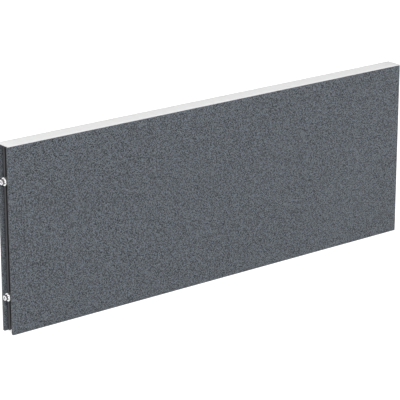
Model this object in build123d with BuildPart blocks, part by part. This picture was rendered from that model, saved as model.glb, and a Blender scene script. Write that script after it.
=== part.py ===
"""Fabric-covered partition panel: two padded skins on an aluminium core frame, a flat top cap,
and two hook bolts in a slotted profile at each end that hang the panel between posts.

Millimetres. X runs along the panel, Y through its thickness with the front at -Y, Z up.
The origin is the middle of the bottom.
"""

from build123d import *
import os

# ---- overall sizes ----
panel_length = 1200.0
panel_height = 450.0
frame_depth = 30.0

# ---- skins: cloth wrapped round a board ----
cloth_thickness = 1.0
cloth_corner_radius = 0.8
board_thickness = 5.0
hem_width = 20.0

# ---- top cap ----
cap_thickness = 2.0
cap_edge_radius = 0.4
cap_leg_thickness = 1.5
cap_leg_play = 0.2
cap_barb_reach = 1.4
cap_barb_height = 2.5
cap_leg_end_gap = 1.0

# ---- slotted end profile ----
end_recess = 8.0
profile_depth = 26.0
rebate = 4.0
lip_thickness = 2.5
cavity_width = 14.4
cavity_depth = 7.0
chamber_width = 10.0
chamber_depth = 14.0
side_chamber_width = 3.8
side_chamber_wall = 2.0

# ---- rails and mullion ----
base_gap = 3.0
rail_wall = 1.6
bottom_rail_height = 30.0
top_rail_box_height = 25.0
cap_channel_depth = 11.0
cap_channel_lip = 2.0
mullion_width = 24.0
screw_port_play = 0.05
screw_port_wall = 1.6

# ---- filling and tape ----
infill_play = 0.3
tape_width = 12.0
rail_tape_width = 9.0
tape_play = 1.0

# ---- screws that hold the frame together ----
frame_screw_radius = 2.4
frame_screw_hole_play = 0.2
frame_screw_head_radius = 3.9
frame_screw_head_height = 2.4
frame_screw_drive = 3.0
frame_screw_drive_depth = 1.4
corner_screw_length = 30.0
mullion_screw_length = 50.0

# ---- hook bolts ----
hook_spacing = 276.0
hook_gap = 4.5
washer_radius = 10.0
washer_thickness = 2.0
bolt_radius = 4.0
washer_bore_play = 0.2
slot_play = 0.2
bolt_length = 20.0
bolt_tip_chamfer = 0.8
bolt_head_radius = 6.5
bolt_head_height = 8.0
bolt_head_chamfer = 0.6
bolt_drive = 6.0
bolt_drive_depth = 4.0
nut_height = 16.0
nut_thickness = 6.0
nut_neck_thickness = 2.0
nut_side_play = 0.3
nut_neck_play = 0.2
nut_bore_play = 0.05

# ---- worked-out sizes ----
skin_thickness = board_thickness + 2 * cloth_thickness
panel_thickness = frame_depth + 2 * skin_thickness
skin_height = panel_height - cap_thickness
skin_middle = skin_height / 2
board_length = panel_length - 2 * cloth_thickness
board_height = skin_height - 2 * cloth_thickness

slot_width = 2 * (bolt_radius + slot_play)
washer_bore_radius = bolt_radius + washer_bore_play
screw_port_radius = frame_screw_radius + screw_port_play
frame_screw_hole_radius = frame_screw_radius + frame_screw_hole_play

profile_face = panel_length / 2 - end_recess
profile_back = profile_face - profile_depth
profile_length = skin_height - base_gap
cavity_back = profile_face - lip_thickness - cavity_depth
chamber_back = cavity_back - chamber_depth

rail_length = 2 * profile_back
bottom_rail_middle = base_gap + bottom_rail_height / 2
bottom_rail_top = base_gap + bottom_rail_height
top_rail_box_top = skin_height - cap_channel_depth
top_rail_bottom = top_rail_box_top - top_rail_box_height
top_rail_middle = top_rail_bottom + top_rail_box_height / 2
mullion_height = top_rail_bottom - bottom_rail_top

hook_heights = (panel_height / 2 - hook_spacing / 2, panel_height / 2 + hook_spacing / 2)
washer_back = profile_face + hook_gap
washer_face = washer_back + washer_thickness
nut_front = profile_face - lip_thickness

# ---- planes of the two faces and the two ends, each with its normal outwards and its y up ----
front_plane = Plane.XZ
back_plane = Plane(origin=(0, 0, 0), x_dir=(-1, 0, 0), z_dir=(0, 1, 0))
left_plane = Plane(origin=(0, 0, 0), x_dir=(0, -1, 0), z_dir=(-1, 0, 0))
right_plane = Plane.YZ
faces = {"front": front_plane, "back": back_plane}
ends = {"left": left_plane, "right": right_plane}
levels = dict(zip(("lower", "upper"), hook_heights))


def write(piece, label):
    """Name a finished piece and write it to its own file."""
    piece.part.label = label
    export_step(piece.part, f"parts/{label}.step")


def make_fabric(label, face):
    """One sheet of cloth over the board's face and edges, turned in behind it as a hem."""
    with BuildPart() as fabric:
        with BuildSketch(face.offset(frame_depth / 2)):
            with Locations((0, skin_middle)):
                Rectangle(panel_length, skin_height)
        extrude(amount=skin_thickness)
        outer_edges = fabric.faces().sort_by(Axis(face.origin, face.z_dir))[-1].edges()
        fillet(outer_edges, radius=cloth_corner_radius)
        with BuildSketch(face.offset(frame_depth / 2 + cloth_thickness)):
            with Locations((0, skin_middle)):
                Rectangle(board_length, board_height)
        extrude(amount=board_thickness, mode=Mode.SUBTRACT)
        with BuildSketch(face.offset(frame_depth / 2)):
            with Locations((0, skin_middle)):
                Rectangle(panel_length - 2 * hem_width, skin_height - 2 * hem_width)
        extrude(amount=cloth_thickness, mode=Mode.SUBTRACT)
    write(fabric, label)


def make_board(label, face):
    """The stiff board inside a skin."""
    with BuildPart() as board:
        with BuildSketch(face.offset(frame_depth / 2 + cloth_thickness)):
            with Locations((0, skin_middle)):
                Rectangle(board_length, board_height)
        extrude(amount=board_thickness)
    write(board, label)


def make_tape(label, face):
    """Double-sided foam tape between a board and the frame, inside the hem."""
    hem_end = panel_length / 2 - hem_width
    end_middle = (hem_end + profile_back) / 2
    end_width = min(tape_width, hem_end - profile_back - 2 * tape_play)
    bottom_middle = (hem_width + bottom_rail_top) / 2
    top_middle = (top_rail_bottom + skin_height - hem_width) / 2
    upright_length = skin_height - 2 * hem_width - 2 * tape_play
    rail_run = profile_back - mullion_width / 2
    run_middle = (profile_back + mullion_width / 2) / 2
    with BuildPart() as tape:
        with BuildSketch(face.offset(frame_depth / 2)):
            with Locations((-end_middle, skin_middle), (end_middle, skin_middle)):
                Rectangle(end_width, upright_length)
            with Locations((0, skin_middle)):
                Rectangle(tape_width, mullion_height)
            for level in (bottom_middle, top_middle):
                with Locations((-run_middle, level), (run_middle, level)):
                    Rectangle(rail_run - 2 * tape_play, rail_tape_width)
        extrude(amount=cloth_thickness)
    write(tape, label)


def make_top_cap():
    """Flat cap over the whole thickness, with two barbed legs that snap into the top rail."""
    leg_face = frame_depth / 2 - rail_wall - cap_channel_lip - cap_leg_play
    barb_top = skin_height - rail_wall - cap_leg_play
    barb_bottom = barb_top - cap_barb_height
    leg_length = rail_length - 2 * cap_leg_end_gap
    with BuildPart() as top_cap:
        with BuildSketch(Plane.YZ.offset(-panel_length / 2)):
            with Locations((0, panel_height - cap_thickness / 2)):
                Rectangle(panel_thickness, cap_thickness)
        extrude(amount=panel_length)
        fillet(top_cap.faces().sort_by(Axis.Z)[-1].edges(), radius=cap_edge_radius)
        with BuildSketch(Plane.YZ.offset(-leg_length / 2)):
            with BuildLine():
                Polyline(
                    (leg_face - cap_leg_thickness, skin_height),
                    (leg_face, skin_height),
                    (leg_face, barb_top),
                    (leg_face + cap_barb_reach, barb_top),
                    (leg_face, barb_bottom),
                    (leg_face - cap_leg_thickness, barb_bottom),
                    close=True,
                )
            make_face()
            mirror(about=Plane.YZ)
        extrude(amount=leg_length)
    write(top_cap, "top_cap")


def make_end_profile(label, sign):
    """Upright aluminium extrusion with a T-slot for the hook bolts, open to the panel's end."""

    def x_at(depth):
        return sign * (profile_face - depth)

    side_chamber_length = profile_depth - rebate - 2 * side_chamber_wall
    side_chamber_middle = rebate + side_chamber_wall + side_chamber_length / 2
    side_chamber_y = frame_depth / 2 - side_chamber_wall - side_chamber_width / 2
    with BuildPart() as end_profile:
        with BuildSketch(Plane.XY.offset(base_gap)):
            with Locations((x_at(profile_depth / 2), 0)):
                Rectangle(profile_depth, frame_depth)
            for side in (-1, 1):
                with Locations((x_at(rebate / 2), side * (frame_depth - rebate) / 2)):
                    Rectangle(rebate, rebate, mode=Mode.SUBTRACT)
                with Locations((x_at(side_chamber_middle), side * side_chamber_y)):
                    Rectangle(side_chamber_length, side_chamber_width, mode=Mode.SUBTRACT)
            with Locations((x_at(lip_thickness / 2), 0)):
                Rectangle(lip_thickness, slot_width, mode=Mode.SUBTRACT)
            with Locations((x_at(lip_thickness + cavity_depth / 2), 0)):
                Rectangle(cavity_depth, cavity_width, mode=Mode.SUBTRACT)
            with Locations((sign * (chamber_back + chamber_depth / 2), 0)):
                Rectangle(chamber_depth, chamber_width, mode=Mode.SUBTRACT)
        extrude(amount=profile_length)
        with BuildSketch(Plane.YZ.offset(sign * profile_back)):
            with Locations((0, bottom_rail_middle), (0, top_rail_middle)):
                Circle(frame_screw_hole_radius)
        extrude(amount=sign * (chamber_back - profile_back), mode=Mode.SUBTRACT)
    write(end_profile, label)


def draw_screw_port(middle, web_length, upright):
    """Round port for a thread-forming screw, on a web, in the section that is being drawn."""
    web = (rail_wall, web_length) if upright else (web_length, rail_wall)
    with Locations(middle):
        Rectangle(*web)
        Circle(screw_port_radius + screw_port_wall)
        Circle(screw_port_radius, mode=Mode.SUBTRACT)


def drill_for_mullion_screw(bottom, top):
    """Clearance hole down through a rail for the screw into the mullion."""
    with BuildSketch(Plane.XY.offset(bottom)) as hole:
        Circle(frame_screw_hole_radius)
    extrude(hole.sketch, amount=top - bottom, mode=Mode.SUBTRACT)


def make_bottom_rail():
    """Box rail between the end profiles, with a screw port along its middle."""
    inner_height = bottom_rail_height - 2 * rail_wall
    with BuildPart() as bottom_rail:
        with BuildSketch(Plane.YZ.offset(-rail_length / 2)):
            with Locations((0, bottom_rail_middle)):
                Rectangle(frame_depth, bottom_rail_height)
                Rectangle(frame_depth - 2 * rail_wall, inner_height, mode=Mode.SUBTRACT)
            draw_screw_port((0, bottom_rail_middle), inner_height, upright=True)
        extrude(amount=rail_length)
        drill_for_mullion_screw(base_gap, bottom_rail_top)
    write(bottom_rail, "bottom_rail")


def make_top_rail():
    """Box rail with a screw port, and a lipped channel above it that holds the cap's legs."""
    inner_width = frame_depth - 2 * rail_wall
    inner_height = top_rail_box_height - 2 * rail_wall
    channel_middle = skin_height - cap_channel_depth / 2
    with BuildPart() as top_rail:
        with BuildSketch(Plane.YZ.offset(-rail_length / 2)):
            with Locations((0, top_rail_middle)):
                Rectangle(frame_depth, top_rail_box_height)
                Rectangle(inner_width, inner_height, mode=Mode.SUBTRACT)
            draw_screw_port((0, top_rail_middle), inner_height, upright=True)
            with Locations((0, channel_middle)):
                Rectangle(frame_depth, cap_channel_depth)
            with Locations((0, channel_middle - rail_wall / 2)):
                Rectangle(inner_width, cap_channel_depth - rail_wall, mode=Mode.SUBTRACT)
            with Locations((0, skin_height - rail_wall / 2)):
                Rectangle(inner_width - 2 * cap_channel_lip, rail_wall, mode=Mode.SUBTRACT)
        extrude(amount=rail_length)
        drill_for_mullion_screw(top_rail_bottom, top_rail_box_top)
    write(top_rail, "top_rail")


def make_mullion():
    """Upright tube in the middle of the frame, with a screw port for both rails' screws."""
    inner_width = mullion_width - 2 * rail_wall
    with BuildPart() as mullion:
        with BuildSketch(Plane.XY.offset(bottom_rail_top)):
            Rectangle(mullion_width, frame_depth)
            Rectangle(inner_width, frame_depth - 2 * rail_wall, mode=Mode.SUBTRACT)
            draw_screw_port((0, 0), inner_width, upright=False)
        extrude(amount=mullion_height)
    write(mullion, "centre_mullion")


def make_infill(label, sign):
    """Sound-absorbing slab that fills one half of the frame."""
    bay_start = mullion_width / 2 + infill_play
    bay_end = profile_back - infill_play
    slab_depth = frame_depth + 2 * cloth_thickness - 2 * infill_play
    with BuildPart() as infill:
        with BuildSketch(Plane.XY.offset(bottom_rail_top + infill_play)):
            with Locations((sign * (bay_start + bay_end) / 2, 0)):
                Rectangle(bay_end - bay_start, slab_depth)
        extrude(amount=mullion_height - 2 * infill_play)
    write(infill, label)


def add_frame_screw(seat, place, length):
    """Add a round-headed screw whose head sits on the seat plane and whose shank goes below it."""
    with BuildSketch(seat) as head:
        with Locations(place):
            Circle(frame_screw_head_radius)
    extrude(head.sketch, amount=frame_screw_head_height)
    with BuildSketch(seat) as shank:
        with Locations(place):
            Circle(frame_screw_radius)
    extrude(shank.sketch, amount=-length)
    with BuildSketch(seat.offset(frame_screw_head_height)) as drive:
        with Locations(place):
            RegularPolygon(frame_screw_drive / 2, 6, major_radius=False)
    extrude(drive.sketch, amount=-frame_screw_drive_depth, mode=Mode.SUBTRACT)


def make_corner_screws():
    """Four screws through the end profiles into the rails' ports."""
    with BuildPart() as corner_screws:
        for end in ends.values():
            for level in (bottom_rail_middle, top_rail_middle):
                add_frame_screw(end.offset(chamber_back), (0, level), corner_screw_length)
    write(corner_screws, "corner_screws")


def make_mullion_screws():
    """Two long screws through the rails into the mullion, one from below and one from above."""
    underside = Plane(origin=(0, 0, base_gap), x_dir=(1, 0, 0), z_dir=(0, 0, -1))
    with BuildPart() as mullion_screws:
        add_frame_screw(underside, (0, 0), mullion_screw_length)
        add_frame_screw(Plane.XY.offset(top_rail_box_top), (0, 0), mullion_screw_length)
    write(mullion_screws, "mullion_screws")


def make_nut(label, end, level):
    """Slot nut staked behind the lips of the T-slot, with a neck that keys it in the slot."""
    with BuildPart() as nut:
        with BuildSketch(end.offset(nut_front)):
            with Locations((0, level)):
                Rectangle(cavity_width - 2 * nut_side_play, nut_height)
        extrude(amount=-nut_thickness)
        with BuildSketch(end.offset(nut_front)):
            with Locations((0, level)):
                Rectangle(slot_width - 2 * nut_neck_play, nut_height)
        extrude(amount=nut_neck_thickness)
        with BuildSketch(end.offset(nut_front - nut_thickness)):
            with Locations((0, level)):
                Circle(bolt_radius + nut_bore_play)
        extrude(amount=nut_thickness + nut_neck_thickness, mode=Mode.SUBTRACT)
    write(nut, label)


def make_washer(label, end, level):
    """Wide washer under the bolt's head, which hooks behind the post's keyhole plate."""
    with BuildPart() as washer:
        with BuildSketch(end.offset(washer_back)):
            with Locations((0, level)):
                Circle(washer_radius)
                Circle(washer_bore_radius, mode=Mode.SUBTRACT)
        extrude(amount=washer_thickness)
    write(washer, label)


def make_bolt(label, end, level):
    """Socket head cap screw that carries the washer and screws into the slot nut."""
    with BuildPart() as bolt:
        with BuildSketch(end.offset(washer_face)):
            with Locations((0, level)):
                Circle(bolt_head_radius)
        extrude(amount=bolt_head_height)
        outward = Axis(end.origin, end.z_dir)
        chamfer(bolt.faces().sort_by(outward)[-1].edges(), length=bolt_head_chamfer)
        with BuildSketch(end.offset(washer_face)):
            with Locations((0, level)):
                Circle(bolt_radius)
        extrude(amount=-bolt_length)
        chamfer(bolt.faces().sort_by(outward)[0].edges(), length=bolt_tip_chamfer)
        with BuildSketch(end.offset(washer_face + bolt_head_height)):
            with Locations((0, level)):
                RegularPolygon(bolt_drive / 2, 6, major_radius=False)
        extrude(amount=-bolt_drive_depth, mode=Mode.SUBTRACT)
    write(bolt, label)


def make_panel():
    """Build every piece of the panel, from the skins inwards and then the hook bolts."""
    os.makedirs("parts", exist_ok=True)
    for name, face in faces.items():
        make_fabric(f"{name}_fabric", face)
        make_board(f"{name}_board", face)
        make_tape(f"{name}_tape", face)
    make_top_cap()
    make_top_rail()
    make_bottom_rail()
    make_mullion()
    for name, sign in (("left", -1), ("right", 1)):
        make_end_profile(f"{name}_end_profile", sign)
        make_infill(f"{name}_infill", sign)
    make_corner_screws()
    make_mullion_screws()
    for end_name, end in ends.items():
        for level_name, level in levels.items():
            make_nut(f"{end_name}_{level_name}_nut", end, level)
            make_washer(f"{end_name}_{level_name}_washer", end, level)
            make_bolt(f"{end_name}_{level_name}_bolt", end, level)


make_panel()
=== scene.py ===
"""Looks of a fabric-covered partition panel that hangs between two posts on hook bolts.

Every sub-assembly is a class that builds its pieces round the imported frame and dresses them: two
cloth skins over boards, a flat top cap, an aluminium core with felt slabs, a slotted upright at each
end, and four hook bolts. All sizes are in metres, in the frame's own axes: X along the panel, the
front at -Y, Z up.
"""

import logging
import math
from collections.abc import Callable, Iterable, Mapping, Sequence
from dataclasses import dataclass, field, replace
from enum import Enum

import bmesh
import bpy
from mathutils import Matrix, Vector, noise


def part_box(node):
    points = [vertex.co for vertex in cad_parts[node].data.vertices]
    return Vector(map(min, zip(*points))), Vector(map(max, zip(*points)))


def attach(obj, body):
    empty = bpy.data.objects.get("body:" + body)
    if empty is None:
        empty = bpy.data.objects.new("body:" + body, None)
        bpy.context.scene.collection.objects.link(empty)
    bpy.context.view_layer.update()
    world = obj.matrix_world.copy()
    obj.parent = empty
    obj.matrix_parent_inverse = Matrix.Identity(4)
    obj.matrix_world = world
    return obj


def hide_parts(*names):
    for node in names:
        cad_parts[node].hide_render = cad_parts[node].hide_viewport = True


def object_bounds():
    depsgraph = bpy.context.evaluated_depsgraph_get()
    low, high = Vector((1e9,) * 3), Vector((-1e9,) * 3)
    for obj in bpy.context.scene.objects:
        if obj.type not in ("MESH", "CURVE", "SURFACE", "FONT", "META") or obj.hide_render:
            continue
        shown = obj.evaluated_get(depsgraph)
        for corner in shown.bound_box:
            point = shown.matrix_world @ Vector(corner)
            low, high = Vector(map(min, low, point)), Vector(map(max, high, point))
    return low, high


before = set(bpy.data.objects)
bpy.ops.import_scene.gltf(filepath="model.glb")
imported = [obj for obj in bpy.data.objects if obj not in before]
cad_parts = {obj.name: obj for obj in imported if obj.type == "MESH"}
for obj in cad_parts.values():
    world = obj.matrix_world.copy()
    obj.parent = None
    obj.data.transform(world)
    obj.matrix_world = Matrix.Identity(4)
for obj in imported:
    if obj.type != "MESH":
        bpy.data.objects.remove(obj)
cad_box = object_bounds()

log = logging.getLogger("panel")

MILLIMETRE = 0.001
WELD_DISTANCE = 1e-6
CUT_DISTANCE = 1e-7
CLOTH_MAP = "cloth_lay"

# The least cosine between a normal and an axis for a face that lies flush, that looks the axis's
# way, and that has turned to it past the middle of a rounded edge.
FLUSH, FACING, TURNED = 0.99, 0.9, 0.7

# How far apart in the noise two neighbouring yarns read their tones.
YARN_SPREAD = 7.31

# A metric thread's section over one pitch: where it turns, and its depth as a share of the pitch.
THREAD_TURNS = (0, 1 / 8, 7 / 16, 9 / 16, 7 / 8, 1)
THREAD_DEPTH = 5 / 16 * math.tan(math.radians(60))

# The plain neck under a screw's head, in pitches: its rings below the seat, and its flare.
NECK_RINGS = (-0.8, -0.25)
NECK_FLARE = 0.2

# The rounded edge of a cap head, in shares of its size: the middle ring's rise and draw.
EDGE_RISE, EDGE_DRAW = 0.45, 0.3

# A button head's dome: the angles of its rings, and the share of its radius that is flat.
DOME_TURNS = (20, 40, 55, 68)
DOME_FLAT = 0.45

# A hexagon socket, in shares of its width: the mouth's radius, the depth of its countersink, and
# the radius, the depth and the blunt point of the drilled bottom.
MOUTH_RADIUS, MOUTH_DEPTH = 0.59, 0.07
DRILL_RADIUS, DRILL_DEPTH, DRILL_POINT = 0.49, 0.2, 0.04


def mm(size: float) -> float:
    """Return a size in millimetres as metres."""
    return size * MILLIMETRE


def linear(colour: str) -> tuple[float, float, float, float]:
    """Turn an sRGB hex colour into linear light.

    Args:
        colour: A colour such as "#5F646A".

    Returns:
        Its linear red, green and blue, and an alpha of 1.
    """
    shares = [int(colour[start : start + 2], 16) / 255 for start in (1, 3, 5)]
    red, green, blue = (s / 12.92 if s <= 0.04045 else ((s + 0.055) / 1.055) ** 2.4 for s in shares)
    return red, green, blue, 1.0


# ---- named options ----


class Face(Enum):
    """A face of the panel. Its value is the side of the Y axis that it lies on."""

    FRONT = -1
    BACK = 1

    @property
    def label(self) -> str:
        """Return the face's name as the pieces use it."""
        return self.name.lower()

    @property
    def turn(self) -> Matrix:
        """Return the turn that takes a piece built for the front to this face."""
        return Matrix.Rotation(math.pi * (self is Face.BACK), 4, "Z")


class End(Enum):
    """An end of the panel. Its value is the side of the X axis that it lies on."""

    LEFT = -1
    RIGHT = 1

    @property
    def label(self) -> str:
        """Return the end's name as the pieces use it."""
        return self.name.lower()

    @property
    def turn(self) -> Matrix:
        """Return the turn that points a piece's own Z axis out of this end."""
        return Matrix.Rotation(self.value * math.pi / 2, 4, "Y")


class Level(Enum):
    """The height of a hook bolt at its end."""

    LOWER = "lower"
    UPPER = "upper"


class Grain(Enum):
    """The direction that a pressed or drawn surface's lines run in."""

    ALONG_X = (1, 0, 0)
    ALONG_Z = (0, 0, 1)


class Head(Enum):
    """The form of a screw's head."""

    CAP = "cap"
    BUTTON = "button"


# ---- nodes ----

Feed = Mapping[str | int, object]


def feed_node(tree: bpy.types.NodeTree, node: bpy.types.Node, feeds: Feed) -> None:
    """Set or link a node's inputs.

    Args:
        tree: The node tree that holds the node.
        node: The node whose inputs are fed.
        feeds: Each input's name or number, with its value or the output that feeds it.
    """
    for name, value in feeds.items():
        if isinstance(value, bpy.types.NodeSocket):
            tree.links.new(value, node.inputs[name])
        else:
            node.inputs[name].default_value = value


def add_node(
    tree: bpy.types.NodeTree, kind: str, feeds: Feed | None = None, **settings: object
) -> bpy.types.Node:
    """Add a node with its settings and links.

    Args:
        tree: The node tree that gets the node.
        kind: The shader node's type, such as "TexNoise".
        feeds: What its inputs are set or linked to.
        **settings: The node's own properties.

    Returns:
        The new node.
    """
    node = tree.nodes.new(f"ShaderNode{kind}")
    for name, value in settings.items():
        setattr(node, name, value)
    feed_node(tree, node, feeds or {})
    return node


# ---- finishes ----


@dataclass(frozen=True)
class Finish:
    """A material: what a surface is made of and how it was worked."""

    name: str

    def material(self) -> bpy.types.Material:
        """Return this finish's material, made when it is first asked for."""
        return bpy.data.materials.get(self.name) or self._make()

    def _make(self) -> bpy.types.Material:
        """Make the material with one Principled shader and work its pattern into it.

        Returns:
            The new material.
        """
        made = bpy.data.materials.new(self.name)
        made.use_nodes = True
        tree = made.node_tree
        tree.nodes.clear()
        shader = add_node(tree, "BsdfPrincipled")
        add_node(tree, "OutputMaterial", {"Surface": shader.outputs["BSDF"]})
        self.work(tree, shader)
        return made

    def work(self, tree: bpy.types.NodeTree, shader: bpy.types.Node) -> None:
        """Set the shader and feed it this finish's pattern.

        Args:
            tree: The material's node tree.
            shader: Its Principled shader.
        """
        raise NotImplementedError

    @staticmethod
    def feed_pattern(
        tree: bpy.types.NodeTree,
        shader: bpy.types.Node,
        share: bpy.types.NodeSocket,
        colours: tuple[str, str],
        relief: tuple[bpy.types.NodeSocket, float, float],
        feeds: Feed,
    ) -> None:
        """Mix two colours by a pattern, raise a relief, and feed both to the shader.

        Args:
            tree: The material's node tree.
            shader: Its Principled shader.
            share: The pattern, as the share of the second colour.
            colours: The two colours.
            relief: The output with the relief's height, its strength, and its depth in metres.
            feeds: What else the shader is fed.
        """
        first, second = (linear(colour) for colour in colours)
        mixed = add_node(tree, "Mix", {0: share, 6: first, 7: second}, data_type="RGBA")
        height, strength, depth = relief
        bump = add_node(tree, "Bump", {"Height": height, "Strength": strength, "Distance": depth})
        feed_node(tree, shader, {"Base Color": mixed.outputs[2], "Normal": bump.outputs[0], **feeds})


@dataclass(frozen=True)
class MelangeCloth(Finish):
    """Polyester screen cloth in a crepe weave of mixed yarns.

    Warp and weft cross at random, and each float shows a darker or a lighter yarn. The eye sees an
    even blue-grey with a fine salt-and-pepper grain and almost no gloss. Such a yarn is about
    0.6 mm thick, too fine to show, so it is drawn coarser.
    """

    dark_yarn: str = "#1B1E22"
    light_yarn: str = "#7F8790"
    yarn: float = mm(1.3)
    float_length: float = 2.4
    wander: float = 0.8
    # Share of the yarn colour left in the lowest gaps, as painted shade.
    painted_gap_shade: float = 0.45
    bead: float = 0.45
    relief: float = mm(0.35)
    relief_strength: float = 0.7
    drift_scale: float = 0.3
    warp_share: float = 0.5
    tone_edges: tuple[float, float] = (0.4, 0.6)
    roughness: float = 0.92
    sheen: float = 0.08
    sheen_roughness: float = 0.5

    def work(self, tree: bpy.types.NodeTree, shader: bpy.types.Node) -> None:
        """Cross the yarns and feed their tone and relief to the shader.

        Args:
            tree: The material's node tree.
            shader: Its Principled shader.
        """
        lay = add_node(tree, "UVMap", uv_map=CLOTH_MAP)
        yarns = add_node(
            tree, "VectorMath", {0: lay.outputs["UV"], "Scale": 1 / self.yarn}, operation="SCALE"
        )
        drift = add_node(
            tree,
            "TexNoise",
            {"Vector": yarns.outputs[0], "Scale": self.drift_scale, "Detail": 1.0},
        )
        crossings = add_node(
            tree,
            "VectorMath",
            {0: drift.outputs["Color"], 1: (self.wander, self.wander, 0), 2: yarns.outputs[0]},
            operation="MULTIPLY_ADD",
        )
        cells = add_node(tree, "VectorMath", {0: crossings.outputs[0]}, operation="FLOOR")
        throw = add_node(tree, "TexWhiteNoise", {"Vector": cells.outputs[0]})
        on_top = add_node(
            tree, "Math", {0: throw.outputs["Value"], 1: self.warp_share}, operation="GREATER_THAN"
        )
        tone = add_node(
            tree,
            "Mix",
            {
                0: on_top.outputs[0],
                2: self._spin_yarn(tree, crossings.outputs[0], cells.outputs[0], 0),
                3: self._spin_yarn(tree, crossings.outputs[0], cells.outputs[0], 1),
            },
        )
        least, most = self.tone_edges
        share = add_node(
            tree,
            "MapRange",
            {"Value": tone.outputs[0], "From Min": least, "From Max": most},
            interpolation_type="SMOOTHSTEP",
        )
        relief = self._raise(tree, crossings.outputs[0], on_top.outputs[0])
        colour = add_node(
            tree,
            "Mix",
            {0: share.outputs[0], 6: linear(self.dark_yarn), 7: linear(self.light_yarn)},
            data_type="RGBA",
        )
        # Painted shade: the yarn colour is darkened where the relief is low, in the gaps between the yarns.
        shade = add_node(tree, "MapRange", {"Value": relief, "To Min": self.painted_gap_shade, "To Max": 1.0})
        shaded = add_node(
            tree,
            "VectorMath",
            {0: colour.outputs[2], "Scale": shade.outputs[0]},
            operation="SCALE",
        )
        bump = add_node(
            tree,
            "Bump",
            {"Height": relief, "Strength": self.relief_strength, "Distance": self.relief},
        )
        feed_node(
            tree,
            shader,
            {
                "Base Color": shaded.outputs[0],
                "Roughness": self.roughness,
                "Sheen Weight": self.sheen,
                "Sheen Roughness": self.sheen_roughness,
                "Normal": bump.outputs[0],
            },
        )

    def _spin_yarn(
        self,
        tree: bpy.types.NodeTree,
        crossings: bpy.types.NodeSocket,
        cells: bpy.types.NodeSocket,
        axis: int,
    ) -> bpy.types.NodeSocket:
        """Give each yarn a tone of its own that changes softly along it.

        Args:
            tree: The material's node tree.
            crossings: Coordinates counted in yarns.
            cells: The same coordinates rounded down to whole yarns.
            axis: The direction that the yarns run in, 0 along the panel and 1 up it.

        Returns:
            The output with the yarn's tone, which is about 0.5.
        """
        along = (1 / self.float_length, 0, 0) if axis == 0 else (0, 1 / self.float_length, 0)
        across = (0, YARN_SPREAD, 0) if axis == 0 else (YARN_SPREAD, 0, 0)
        own = add_node(
            tree, "VectorMath", {0: cells, 1: across, 2: (0, 0, axis)}, operation="MULTIPLY_ADD"
        )
        place = add_node(
            tree,
            "VectorMath",
            {0: crossings, 1: along, 2: own.outputs[0]},
            operation="MULTIPLY_ADD",
        )
        return add_node(
            tree, "TexNoise", {"Vector": place.outputs[0], "Scale": 1.0, "Detail": 1.0}
        ).outputs[0]

    def _raise(
        self, tree: bpy.types.NodeTree, crossings: bpy.types.NodeSocket, on_top: bpy.types.NodeSocket
    ) -> bpy.types.NodeSocket:
        """Round the yarn that lies on top at each crossing, across it and a little along it.

        Args:
            tree: The material's node tree.
            crossings: Coordinates counted in yarns.
            on_top: 1 where the warp lies on top and 0 where the weft does.

        Returns:
            The output with the yarn's height, from 0 in the gaps to 1 at its crown.
        """
        across = add_node(tree, "VectorMath", {0: crossings}, operation="FRACTION")
        centred = add_node(
            tree,
            "VectorMath",
            {0: across.outputs[0], 1: (2, 2, 0), 2: (-1, -1, 0)},
            operation="MULTIPLY_ADD",
        )
        squared = add_node(
            tree,
            "VectorMath",
            {0: centred.outputs[0], 1: centred.outputs[0]},
            operation="MULTIPLY",
        )
        off_middle = add_node(
            tree,
            "VectorMath",
            {0: centred.outputs[0], 1: centred.outputs[0]},
            operation="DOT_PRODUCT",
        )
        off_axis = add_node(tree, "SeparateXYZ", {"Vector": squared.outputs[0]})
        crown = add_node(tree, "Mix", {0: on_top, 2: off_axis.outputs["Y"], 3: off_axis.outputs["X"]})
        fall = add_node(
            tree, "Mix", {0: self.bead, 2: crown.outputs[0], 3: off_middle.outputs["Value"]}
        )
        return add_node(tree, "Math", {0: 1.0, 1: fall.outputs[0]}, operation="SUBTRACT").outputs[0]


@dataclass(frozen=True)
class PowderCoat(Finish):
    """Polyester powder baked on aluminium: satin, with the faint ripple that baked powder has."""

    colour: str = "#D8D8D8"
    speck: str = "#CDCDCD"
    ripple: float = mm(1.4)
    speck_size: float = mm(0.9)
    speck_edges: tuple[float, float] = (0.35, 0.65)
    depth: float = mm(0.03)
    strength: float = 0.5
    roughness: float = 0.42
    unevenness: float = 0.05
    ior: float = 1.5

    def work(self, tree: bpy.types.NodeTree, shader: bpy.types.Node) -> None:
        """Feed the coat's ripple and its fine specks to the shader.

        Args:
            tree: The material's node tree.
            shader: Its Principled shader.
        """
        place = add_node(tree, "TexCoord").outputs["Object"]
        ripple, specks = (
            add_node(tree, "TexNoise", {"Vector": place, "Scale": 1 / size, "Detail": detail})
            for size, detail in ((self.ripple, 2.0), (self.speck_size, 3.0))
        )
        least, most = self.speck_edges
        share = add_node(
            tree, "MapRange", {"Value": specks.outputs[0], "From Min": least, "From Max": most}
        )
        low, high = self.roughness - self.unevenness, self.roughness + self.unevenness
        roughness = add_node(
            tree, "MapRange", {"Value": ripple.outputs[0], "To Min": low, "To Max": high}
        )
        colours = (self.colour, self.speck)
        relief = (ripple.outputs[0], self.strength, self.depth)
        feeds = {"Roughness": roughness.outputs[0], "IOR": self.ior}
        self.feed_pattern(tree, shader, share.outputs[0], colours, relief, feeds)


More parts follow.
